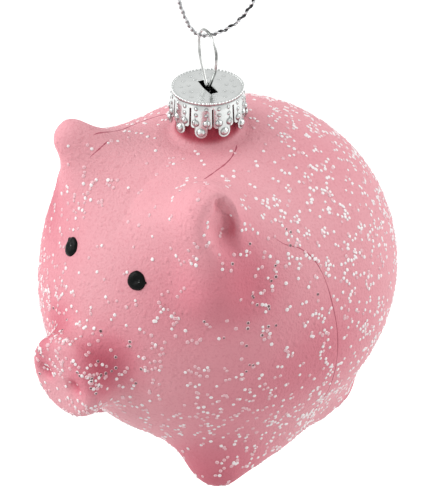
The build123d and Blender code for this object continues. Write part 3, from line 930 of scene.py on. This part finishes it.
def twisted_plies(points, diameter, lay, phase=0.0):
    """Two plies wound about a line, each a closed tube with five ridges that turn the other way.

    Also gives two values for each point: the height of its ridge, and how bright its ply is, the darker
    ply's low values being painted dark reflection.
    """
    travel = travel_along(points)
    places = np.linspace(0, travel[-1], max(int(travel[-1] / PLY_STEP), 4))
    line = at_travel(points, travel, places)
    tangent, first, second = strand_frames(line)
    around = np.linspace(0, 2 * np.pi, PLY_SIDES, endpoint=False)
    circle = np.cos(around)[:, None] * first[:, None] + np.sin(around)[:, None] * second[:, None]
    ridge = 1 + RIDGE_SHARE * np.cos(PLY_RIDGES * around + 9 * np.pi * places[:, None] / lay)
    # The darker ply carries painted dark reflection, which fades out towards one side of the cord
    one_side = smooth_step(line @ ALONG_CORD, -3.0, 4.0)[:, None]
    brightness = (np.ones_like(ridge), DARK_REFLECTION_SHARE * (1 - one_side) + 0 * ridge)
    plies, values = [], []
    for ply, bright in enumerate(brightness):
        turn = (2 * np.pi * places / lay + ply * np.pi + phase)[:, None]
        centre = line + diameter * PLY_OFFSET_SHARE * (np.cos(turn) * first + np.sin(turn) * second)
        tube = centre[:, None] + circle * (diameter * PLY_RADIUS_SHARE * ridge)[..., None]
        ends = np.stack([centre[0] - tangent[0] * PLY_END, centre[-1] + tangent[-1] * PLY_END])
        flat = np.concatenate([tube.reshape(-1, 3), ends])
        middle = np.concatenate([np.repeat(centre, PLY_SIDES, 0), centre[[0, -1]]])
        start_ring = np.arange(PLY_SIDES)
        end_ring = start_ring + (len(line) - 1) * PLY_SIDES
        groups = (grid_faces(len(line), PLY_SIDES), fan_faces(start_ring, len(flat) - 2),
                  fan_faces(end_ring, len(flat) - 1))
        plies.append((flat, [outward(flat, faces, middle) for faces in groups]))
        values.append(np.c_[np.r_[ridge.ravel(), 1.0, 1.0], np.r_[bright.ravel(), 1.0, 1.0]])
    return *joined(plies), np.concatenate(values)


def cord_points():
    """The cord's smooth line in millimetres: a NURBS spline with the route's points as control points."""
    curve = bpy.data.curves.new("cord_route", "CURVE")
    curve.dimensions = "3D"
    curve.resolution_u = 24
    spline = curve.splines.new("NURBS")
    spline.points.add(len(CORD_ROUTE) - 1)
    route = CORD_ROUTE[:, :1] * ALONG_CORD + CORD_ROUTE[:, 1:] * UP
    spline.points.foreach_set("co", np.c_[route * MM, np.ones(len(route))].ravel())
    spline.order_u = 3
    spline.use_endpoint_u = True
    holder = bpy.data.objects.new("cord_route", curve)
    bpy.context.scene.collection.objects.link(holder)
    bpy.context.view_layer.update()
    read = bpy.data.meshes.new_from_object(holder)
    line = np.zeros(len(read.vertices) * 3)
    read.vertices.foreach_get("co", line)
    bpy.data.objects.remove(holder)
    bpy.data.meshes.remove(read)
    bpy.data.curves.remove(curve)
    return line.reshape(-1, 3) / MM


def tied_knot(diameter, lay):
    """The knot: nearly three turns of cord as a helix about both strands, and two ends that lean apart."""
    t = np.linspace(0, 1, 120)[:, None]
    turn = 2 * np.pi * KNOT_TURNS * t
    radius = KNOT_RADIUS + KNOT_SWELL * np.sin(np.pi * t)
    side = ALONG_CORD * np.cos(turn) + ALONG_WIRE * np.sin(turn)
    wrap = side * radius + UP * (KNOT_FOOT + KNOT_HEIGHT * t)
    strands = [twisted_plies(wrap, diameter, lay)]
    u = np.linspace(0, 1, 60)[:, None]
    rise = TAIL_FOOT + TAIL_HEIGHT * u - TAIL_DROOP * u ** 2
    for lean, curl in TAILS:
        out = lean * (TAIL_GAP + TAIL_SPREAD * u ** 1.15)
        tail = ALONG_CORD * out + ALONG_WIRE * (curl * np.sin(2.2 * u) * u) + UP * rise
        strands.append(twisted_plies(tail, diameter, lay, phase=1.0 + lean))
    return *joined([strand[:2] for strand in strands]), np.concatenate([strand[2] for strand in strands])


def thread_piece(name, node, strand, material):
    """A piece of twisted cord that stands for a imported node."""
    points, faces, values = strand
    piece = make_piece(name, points, faces, "cord", material,
                       {"thread_ridge": values[:, 0], "bright_ply": values[:, 1]})
    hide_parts(node)
    return piece


def build_cord(settings):
    """The two-ply cord along its route and the knot that closes it."""
    diameter, lay = settings.cord_diameter / MM, settings.lay / MM
    line = cord_points()
    material = thread_material(settings)
    cord = thread_piece("twisted_cord", "cord_loop", twisted_plies(line, diameter, lay), material)
    knot = thread_piece("tied_knot", "cord_knot", tied_knot(diameter, lay), material)


# Material helpers

def new_material(name):
    """A node material, its tree and its Principled shader."""
    material = bpy.data.materials.new(name)
    material.use_nodes = True
    tree = material.node_tree
    shader = next(n for n in tree.nodes if n.type == "BSDF_PRINCIPLED")
    return material, tree, shader


def add_node(tree, kind, **values):
    """A node of a kind, with its inputs' defaults and its own attributes set by name."""
    node = tree.nodes.new(kind)
    for key, value in values.items():
        if key in node.inputs:
            node.inputs[key].default_value = value
        else:
            setattr(node, key, value)
    return node


def ranged(tree, value, low, high, to_low, to_high):
    """A value carried from one range to another, held at both ends."""
    node = tree.nodes.new("ShaderNodeMapRange")
    for name, number in (("From Min", low), ("From Max", high), ("To Min", to_low), ("To Max", to_high)):
        node.inputs[name].default_value = number
    tree.links.new(value, node.inputs["Value"])
    return node.outputs["Result"]


def value_of(tree, name):
    """The link of a number stored on a piece's points."""
    return add_node(tree, "ShaderNodeAttribute", attribute_name=name).outputs["Fac"]


def mix_colours(tree, share, first, second):
    """A mix of two colours or links by a linked share."""
    node = add_node(tree, "ShaderNodeMix", data_type="RGBA")
    tree.links.new(share, node.inputs[0])
    for socket, value in ((node.inputs[6], first), (node.inputs[7], second)):
        if isinstance(value, bpy.types.NodeSocket):
            tree.links.new(value, socket)
        else:
            socket.default_value = (*value, 1.0)
    return node.outputs[2]


def combined(tree, operation, first, second):
    """Two linked values combined by an operation of the Math node."""
    node = add_node(tree, "ShaderNodeMath", operation=operation)
    tree.links.new(first, node.inputs[0])
    tree.links.new(second, node.inputs[1])
    return node.outputs[0]


def mottle_group():
    """Shared group: a broad noise, a fine noise and round specks, for uneven colour, gloss and height."""
    if "surface_mottle" in bpy.data.node_groups:
        return bpy.data.node_groups["surface_mottle"]
    group = bpy.data.node_groups.new("surface_mottle", "ShaderNodeTree")
    for name in ("Broad Scale", "Fine Scale", "Speck Scale"):
        group.interface.new_socket(name, in_out="INPUT", socket_type="NodeSocketFloat")
    for name in ("Broad", "Fine", "Specks"):
        group.interface.new_socket(name, in_out="OUTPUT", socket_type="NodeSocketFloat")
    enter, leave = group.nodes.new("NodeGroupInput"), group.nodes.new("NodeGroupOutput")
    where = group.nodes.new("ShaderNodeTexCoord")
    broad = add_node(group, "ShaderNodeTexNoise", Detail=3.0, Roughness=0.55)
    fine = add_node(group, "ShaderNodeTexNoise", Detail=2.0, Roughness=0.6)
    specks = add_node(group, "ShaderNodeTexVoronoi", feature="F1")
    for node, scale in ((broad, "Broad Scale"), (fine, "Fine Scale"), (specks, "Speck Scale")):
        group.links.new(where.outputs["Object"], node.inputs["Vector"])
        group.links.new(enter.outputs[scale], node.inputs["Scale"])
    group.links.new(broad.outputs["Fac"], leave.inputs["Broad"])
    group.links.new(fine.outputs["Fac"], leave.inputs["Fine"])
    group.links.new(ranged(group, specks.outputs["Distance"], 0.32, 0.08, 0.0, 1.0), leave.inputs["Specks"])
    return group


def place_mottle(tree, broad, fine, specks):
    """The shared mottle in a material with its own scales: links of its broad and fine noise and specks."""
    node = add_node(tree, "ShaderNodeGroup", node_tree=mottle_group())
    for name, value in (("Broad Scale", broad), ("Fine Scale", fine), ("Speck Scale", specks)):
        node.inputs[name].default_value = value
    return [node.outputs[name] for name in ("Broad", "Fine", "Specks")]


def hollow_shade_share(tree, distance, deep, shallow, most):
    """How much painted shade a place gets in a hollow, from how much of its surroundings it sees within a
    distance.
    """
    seen = add_node(tree, "ShaderNodeAmbientOcclusion", Distance=distance, samples=8)
    return ranged(tree, seen.outputs["AO"], deep, shallow, most, 0.0)


def finish_surface(tree, shader, colour, noise, smooth, rough):
    """A shader's colour, and a roughness that follows a noise between two values."""
    tree.links.new(colour, shader.inputs["Base Color"])
    tree.links.new(ranged(tree, noise, 0.3, 0.7, smooth, rough), shader.inputs["Roughness"])


def add_bump(tree, shader, heights, distance):
    """Bump on a shader from weighted height links, one Bump node after another."""
    target = shader.inputs["Normal"]
    for height, strength in reversed(heights):
        node = add_node(tree, "ShaderNodeBump", Strength=strength, Distance=distance)
        tree.links.new(height, node.inputs["Height"])
        tree.links.new(node.outputs["Normal"], target)
        target = node.inputs["Normal"]


# Materials

def pink_material(settings):
    """Matte pink: faint blotches, fine grain, painted shade in spots, hollows and bore, painted light on the
    ears, and a red neck, partly bare colour and partly painted shadow.
    """
    material, tree, shader = new_material("matte_pink")
    broad, fine, specks = place_mottle(tree, 70.0, 2100.0, 480.0)
    blotch = ranged(tree, broad, 0.35, 0.70, 0.0, 0.10)
    colour = mix_colours(tree, blotch, settings.pink, settings.deep_pink)
    # Painted shade in soft spots where shade falls, first at half and then at full strength
    shade_spot_share = value_of(tree, "painted_shade")
    colour = mix_colours(tree, ranged(tree, shade_spot_share, 0.0, 0.5, 0.0, 1.0), colour, settings.shade_spot_pink)
    colour = mix_colours(tree, ranged(tree, shade_spot_share, 0.4, 1.0, 0.0, 1.0), colour, settings.deep_pink)
    # Painted light on the ears' fronts
    colour = mix_colours(tree, value_of(tree, "painted_light"), colour, settings.painted_light_pink)
    colour = mix_colours(tree, ranged(tree, fine, 0.50, 0.74, 0.0, 0.26), colour, settings.deep_pink)
    # Painted shade in the hollows, darker where less of the surroundings is seen
    colour = mix_colours(tree, hollow_shade_share(tree, 0.010, 0.35, 0.90, 0.85), colour, settings.hollow_shade_pink)
    # The neck's red: its bare colour, and painted shadow under the cap
    colour = mix_colours(tree, value_of(tree, "bare_neck_and_shadow"), colour, settings.neck_red_and_shadow)
    # Painted shade inside the bore
    colour = mix_colours(tree, value_of(tree, "bore_shade"), colour, settings.bore_shade_black)
    finish_surface(tree, shader, colour, fine, 0.50, 0.64)
    shader.inputs["Specular IOR Level"].default_value = 0.22
    add_bump(tree, shader, [(fine, 0.80), (specks, 0.45)], 0.00024)
    return material


def seam_material(settings):
    """The parting line's darker pink, also the painted shade of the ear's crease, with uneven depth of
    colour along it.
    """
    material, tree, shader = new_material("parting_line_pink")
    broad, fine, _ = place_mottle(tree, 160.0, 2600.0, 900.0)
    share = ranged(tree, broad, 0.35, 0.65, 0.0, 0.55)
    colour = mix_colours(tree, share, settings.seam_and_crease_shade_pink, settings.deep_pink)
    tree.links.new(colour, shader.inputs["Base Color"])
    shader.inputs["Roughness"].default_value = 0.6
    add_bump(tree, shader, [(fine, 0.3)], 0.0001)
    return material


def glitter_material(settings):
    """Flakes by their tone: white, clear over the pink, or with a painted dark reflection in the middle; all
    with a slight gloss.
    """
    material, tree, shader = new_material("glitter_flakes")
    _, fine, _ = place_mottle(tree, 300.0, 5200.0, 1800.0)
    ramp = tree.nodes.new("ShaderNodeValToRGB")
    stops = ((0.0, settings.white), (0.50, settings.white), (0.66, settings.clear), (0.80, settings.clear),
             (0.86, settings.through), (0.92, settings.through), (1.0, settings.dark))
    while len(ramp.color_ramp.elements) < len(stops):
        ramp.color_ramp.elements.new(0.5)
    for element, (place, colour) in zip(ramp.color_ramp.elements, stops):
        element.position = place
        element.color = (*colour, 1.0)
    tree.links.new(value_of(tree, "flake_tone"), ramp.inputs["Fac"])
    grain = ranged(tree, fine, 0.35, 0.7, 0.0, 0.22)
    colour = mix_colours(tree, grain, ramp.outputs["Color"], settings.clear)
    finish_surface(tree, shader, colour, fine, 0.22, 0.40)
    shader.inputs["Specular IOR Level"].default_value = 0.6
    add_bump(tree, shader, [(fine, 0.2)], 0.00005)
    return material


def paint_material(settings):
    """Thick black paint: nearly even, with a little dust, painted highlight flecks in one spot and a soft
    gloss.
    """
    material, tree, shader = new_material("black_eye_paint")
    broad, fine, specks = place_mottle(tree, 420.0, 3000.0, 2100.0)
    colour = mix_colours(tree, ranged(tree, fine, 0.55, 0.8, 0.0, 0.06), settings.paint, settings.dust)
    # Painted highlight flecks in one spot of each dab
    highlight_fleck = combined(tree, "MULTIPLY", value_of(tree, "painted_highlight"), specks)
    colour = mix_colours(tree, ranged(tree, highlight_fleck, 0.25, 0.60, 0.0, 0.85), colour, settings.painted_highlight)
    finish_surface(tree, shader, colour, broad, 0.12, 0.30)
    shader.inputs["Specular IOR Level"].default_value = 0.08
    add_bump(tree, shader, [(broad, 0.6), (fine, 0.3)], 0.0002)
    return material


def cap_material(settings):
    """Bright stamped sheet: silver with cloudy dulling, fine rolling grain, and painted shade in hollows,
    round bosses and under the rim.
    """
    material, tree, shader = new_material("stamped_silver")
    broad, fine, specks = place_mottle(tree, 240.0, 2400.0, 1100.0)
    colour = mix_colours(tree, ranged(tree, broad, 0.35, 0.7, 0.0, 0.45), settings.silver, settings.dull)
    # Painted shade in the cap's hollows
    colour = mix_colours(tree, hollow_shade_share(tree, 0.0012, 0.40, 0.97, 0.92), colour, settings.hollow)
    # Painted shade at the bosses' feet and under the rim
    crevice_shade = ranged(tree, value_of(tree, "crevice"), 0.20, 1.0, 0.0, 0.62)
    colour = mix_colours(tree, crevice_shade, colour, settings.crevice_shade)
    finish_surface(tree, shader, colour, fine, 0.14, 0.30)
    shader.inputs["Metallic"].default_value = 1.0
    add_bump(tree, shader, [(fine, 0.10), (specks, 0.12)], 0.00008)
    return material


def wire_material(settings):
    """Bright drawn wire with dull patches."""
    material, tree, shader = new_material("drawn_wire")
    broad, fine, _ = place_mottle(tree, 320.0, 3600.0, 1500.0)
    dull = ranged(tree, broad, 0.42, 0.62, 0.0, 0.85)
    colour = mix_colours(tree, dull, settings.steel, settings.steel_dull)
    finish_surface(tree, shader, colour, fine, 0.14, 0.32)
    shader.inputs["Metallic"].default_value = 1.0
    add_bump(tree, shader, [(fine, 0.15)], 0.00003)
    return material


def thread_material(settings):
    """Metallic thread: a bright ply and a ply of painted dark reflection, painted shade in the gaps between
    ridges, and painted glints.
    """
    material, tree, shader = new_material("silver_thread")
    broad, fine, _ = place_mottle(tree, 900.0, 4200.0, 1600.0)
    # The darker ply is painted dark reflection
    bright = mix_colours(tree, value_of(tree, "bright_ply"), settings.thread_dark_reflection, settings.thread)
    # Painted shade in the gaps between the ridges
    height = ranged(tree, value_of(tree, "thread_ridge"), 0.88, 1.05, 0.0, 1.0)
    colour = mix_colours(tree, height, settings.thread_shade, bright)
    # Patches of painted glint
    colour = mix_colours(tree, ranged(tree, broad, 0.52, 0.62, 0.0, 0.45), colour, settings.thread)
    finish_surface(tree, shader, colour, fine, 0.18, 0.40)
    shader.inputs["Metallic"].default_value = 0.9
    add_bump(tree, shader, [(fine, 0.25)], 0.00005)
    return material


# Stage

# The middle of the view, fitted to the photograph, in millimetres
VIEW_MIDDLE = BODY_CENTRE + [0.0, -2.329, 1.031]
SENSOR_WIDTH, CLIP_START, CLIP_END = 36.0, 0.01, 20.0
FLOOR_REACH, FLOOR_POINTS, FLOOR_GREYS, FLOOR_GLOW = 3000.0, 13, (0.74, 0.77), 0.60

# Lamps: size, distance, and their directions as shares of the view's right, up and back
LAMP_SIZE, LAMP_DISTANCE = 0.60, 0.70
KEY_SIDE, FILL_SIDE = np.array([-0.80, 0.45, 0.40]), np.array([0.85, 0.45, 0.27])


def view_axes(settings):
    """Right, up and back vectors of the photograph's view, as rows."""
    a, e = settings.azimuth, settings.elevation
    right = [math.cos(a), math.sin(a), 0.0]
    up = [-math.sin(a) * math.sin(e), math.cos(a) * math.sin(e), math.cos(e)]
    back = [math.sin(a) * math.cos(e), -math.cos(a) * math.cos(e), math.sin(e)]
    return np.array([right, up, back])


def white_to_camera(tree, strength, seen):
    """One strength for rays from the camera, from gloss and through glass, and a plain one for the rest."""
    path = tree.nodes.new("ShaderNodeLightPath")
    direct = combined(tree, "MAXIMUM", path.outputs["Is Camera Ray"], path.outputs["Is Glossy Ray"])
    direct = combined(tree, "MAXIMUM", direct, path.outputs["Is Transmission Ray"])
    return ranged(tree, direct, 0.0, 1.0, strength, seen)


def build_world(settings):
    """Even light, and plain white where the camera, gloss or glass sees it."""
    world = bpy.data.worlds.new("studio_white")
    bpy.context.scene.world = world
    world.use_nodes = True
    tree = world.node_tree
    background = next(n for n in tree.nodes if n.type == "BACKGROUND")
    background.inputs["Color"].default_value = (1.0, 1.0, 1.0, 1.0)
    tree.links.new(white_to_camera(tree, settings.sky, 1.0), background.inputs["Strength"])


def build_floor(settings):
    """A wide pale floor below the hanging pig that keeps its shadow and is else as white as its backdrop."""
    low = CAD_BOX[0][2] / MM - settings.floor_drop / MM
    span = np.linspace(-FLOOR_REACH, FLOOR_REACH, FLOOR_POINTS)
    x, y = np.meshgrid(span, span, indexing="ij")
    points = np.stack([x, y, np.full_like(x, low)], -1).reshape(-1, 3)
    faces = grid_faces(FLOOR_POINTS, FLOOR_POINTS, around=False)[:, ::-1]
    mesh = bpy.data.meshes.new("pale_floor")
    mesh.from_pydata((points * MM).tolist(), [], faces.tolist())
    floor = bpy.data.objects.new("pale_floor", mesh)
    bpy.context.scene.collection.objects.link(floor)
    material, tree, shader = new_material("pale_floor")
    broad, _, _ = place_mottle(tree, 3.0, 90.0, 40.0)
    tone = ranged(tree, broad, 0.3, 0.7, 0.0, 1.0)
    first, second = ((grey, grey, grey) for grey in FLOOR_GREYS)
    tree.links.new(mix_colours(tree, tone, first, second), shader.inputs["Base Color"])
    shader.inputs["Roughness"].default_value = 0.9
    shader.inputs["Specular IOR Level"].default_value = 0.1
    shader.inputs["Emission Color"].default_value = (1.0, 1.0, 1.0, 1.0)
    tree.links.new(white_to_camera(tree, 0.0, FLOOR_GLOW), shader.inputs["Emission Strength"])
    mesh.materials.append(material)


def add_lamp(name, side, axes, power):
    """A square soft lamp on one side of the body, turned to it."""
    middle = BODY_CENTRE * MM
    place = middle + side @ axes * LAMP_DISTANCE
    lamp = bpy.data.lights.new(name, "AREA")
    lamp.shape = "SQUARE"
    lamp.size = LAMP_SIZE
    lamp.energy = power
    holder = bpy.data.objects.new(name, lamp)
    holder.location = Vector(place)
    holder.rotation_euler = Vector(middle - place).to_track_quat("-Z", "Y").to_euler()
    bpy.context.scene.collection.objects.link(holder)


def add_camera(settings, axes):
    """The camera at the photograph's view, turned to the point at the picture's middle."""
    right, up, back = axes
    place = VIEW_MIDDLE * MM + back * settings.distance
    aim = VIEW_MIDDLE * MM + right * settings.aim[0] + up * settings.aim[1]
    camera = bpy.data.cameras.new("photo_camera")
    camera.sensor_fit = "AUTO"
    camera.sensor_width = SENSOR_WIDTH
    camera.lens = settings.focal_pixels * SENSOR_WIDTH / max(PHOTO_WIDTH, PHOTO_HEIGHT)
    camera.clip_start, camera.clip_end = CLIP_START, CLIP_END
    holder = bpy.data.objects.new("photo_camera", camera)
    toward = unit(place - aim)
    side = unit(np.cross(up, toward))
    turned = Matrix(np.stack([side, np.cross(toward, side), toward]).T.tolist())
    holder.matrix_world = Matrix.Translation(Vector(place)) @ turned.to_4x4()
    bpy.context.scene.collection.objects.link(holder)
    bpy.context.scene.camera = holder


def build_stage(settings):
    """Camera at the photograph's view, two soft lamps, the world and the floor."""
    axes = view_axes(settings)
    add_camera(settings, axes)
    add_lamp("key_lamp", KEY_SIDE, axes, settings.key)
    add_lamp("fill_lamp", FILL_SIDE, axes, settings.fill)
    build_world(settings)
    build_floor(settings)
    bpy.context.scene.view_settings.view_transform = "Standard"


# Operators

class PIG_OT_stage(bpy.types.Operator):
    """Add the camera, lamps, background and floor"""
    bl_idname = "pig_ornament.stage"
    bl_label = "Stage"

    def execute(self, context):
        build_stage(context.scene.pig_stage)
        return {"FINISHED"}


class PIG_OT_cord(bpy.types.Operator):
    """Add the twisted cord and its knot, and finish the hanger's wire"""
    bl_idname = "pig_ornament.cord"
    bl_label = "Cord and hanger"

    def execute(self, context):
        build_cord(context.scene.pig_hanger)
        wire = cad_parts["hanger_wire"]
        wire.data.materials.clear()
        wire.data.materials.append(wire_material(context.scene.pig_hanger))
        return {"FINISHED"}


class PIG_OT_shell(bpy.types.Operator):
    """Add the moulded shell, its parting line and its glitter"""
    bl_idname = "pig_ornament.shell"
    bl_label = "Shell and glitter"

    def execute(self, context):
        grid = build_shell(context.scene.pig_shell)
        build_seam(context.scene.pig_shell)
        build_glitter(grid, context.scene.pig_glitter)
        return {"FINISHED"}


class PIG_OT_eyes(bpy.types.Operator):
    """Add both painted eyes"""
    bl_idname = "pig_ornament.eyes"
    bl_label = "Eyes"

    def execute(self, context):
        build_eyes(context.scene.pig_eyes)
        return {"FINISHED"}


class PIG_OT_cap(bpy.types.Operator):
    """Add the stamped crown cap"""
    bl_idname = "pig_ornament.cap"
    bl_label = "Crown cap"

    def execute(self, context):
        build_cap(context.scene.pig_cap)
        return {"FINISHED"}


class PIG_PT_ornament(bpy.types.Panel):
    """Lists the ornament's pieces and settings"""
    bl_idname = "PIG_PT_ornament"
    bl_label = "Hanging pig ornament"
    bl_space_type = "VIEW_3D"
    bl_region_type = "UI"
    bl_category = "Ornament"

    def draw(self, context):
        for operator in OPERATORS:
            self.layout.operator(operator.bl_idname)
        for name, group in SETTINGS.items():
            box = self.layout.box()
            for key in group.__annotations__:
                box.prop(getattr(context.scene, name), key)


OPERATORS = (PIG_OT_stage, PIG_OT_cord, PIG_OT_shell, PIG_OT_eyes, PIG_OT_cap)


def register():
    for group in (*SETTINGS.values(), *OPERATORS, PIG_PT_ornament):
        bpy.utils.register_class(group)
    for name, group in SETTINGS.items():
        setattr(bpy.types.Scene, name, bpy.props.PointerProperty(type=group))


def unregister():
    for name in SETTINGS:
        delattr(bpy.types.Scene, name)
    for group in reversed((*SETTINGS.values(), *OPERATORS, PIG_PT_ornament)):
        bpy.utils.unregister_class(group)


def main():
    register()
    bpy.ops.pig_ornament.stage()
    bpy.ops.pig_ornament.cord()
    bpy.ops.pig_ornament.shell()
    bpy.ops.pig_ornament.eyes()
    bpy.ops.pig_ornament.cap()


if __name__ == "__main__":
    main()
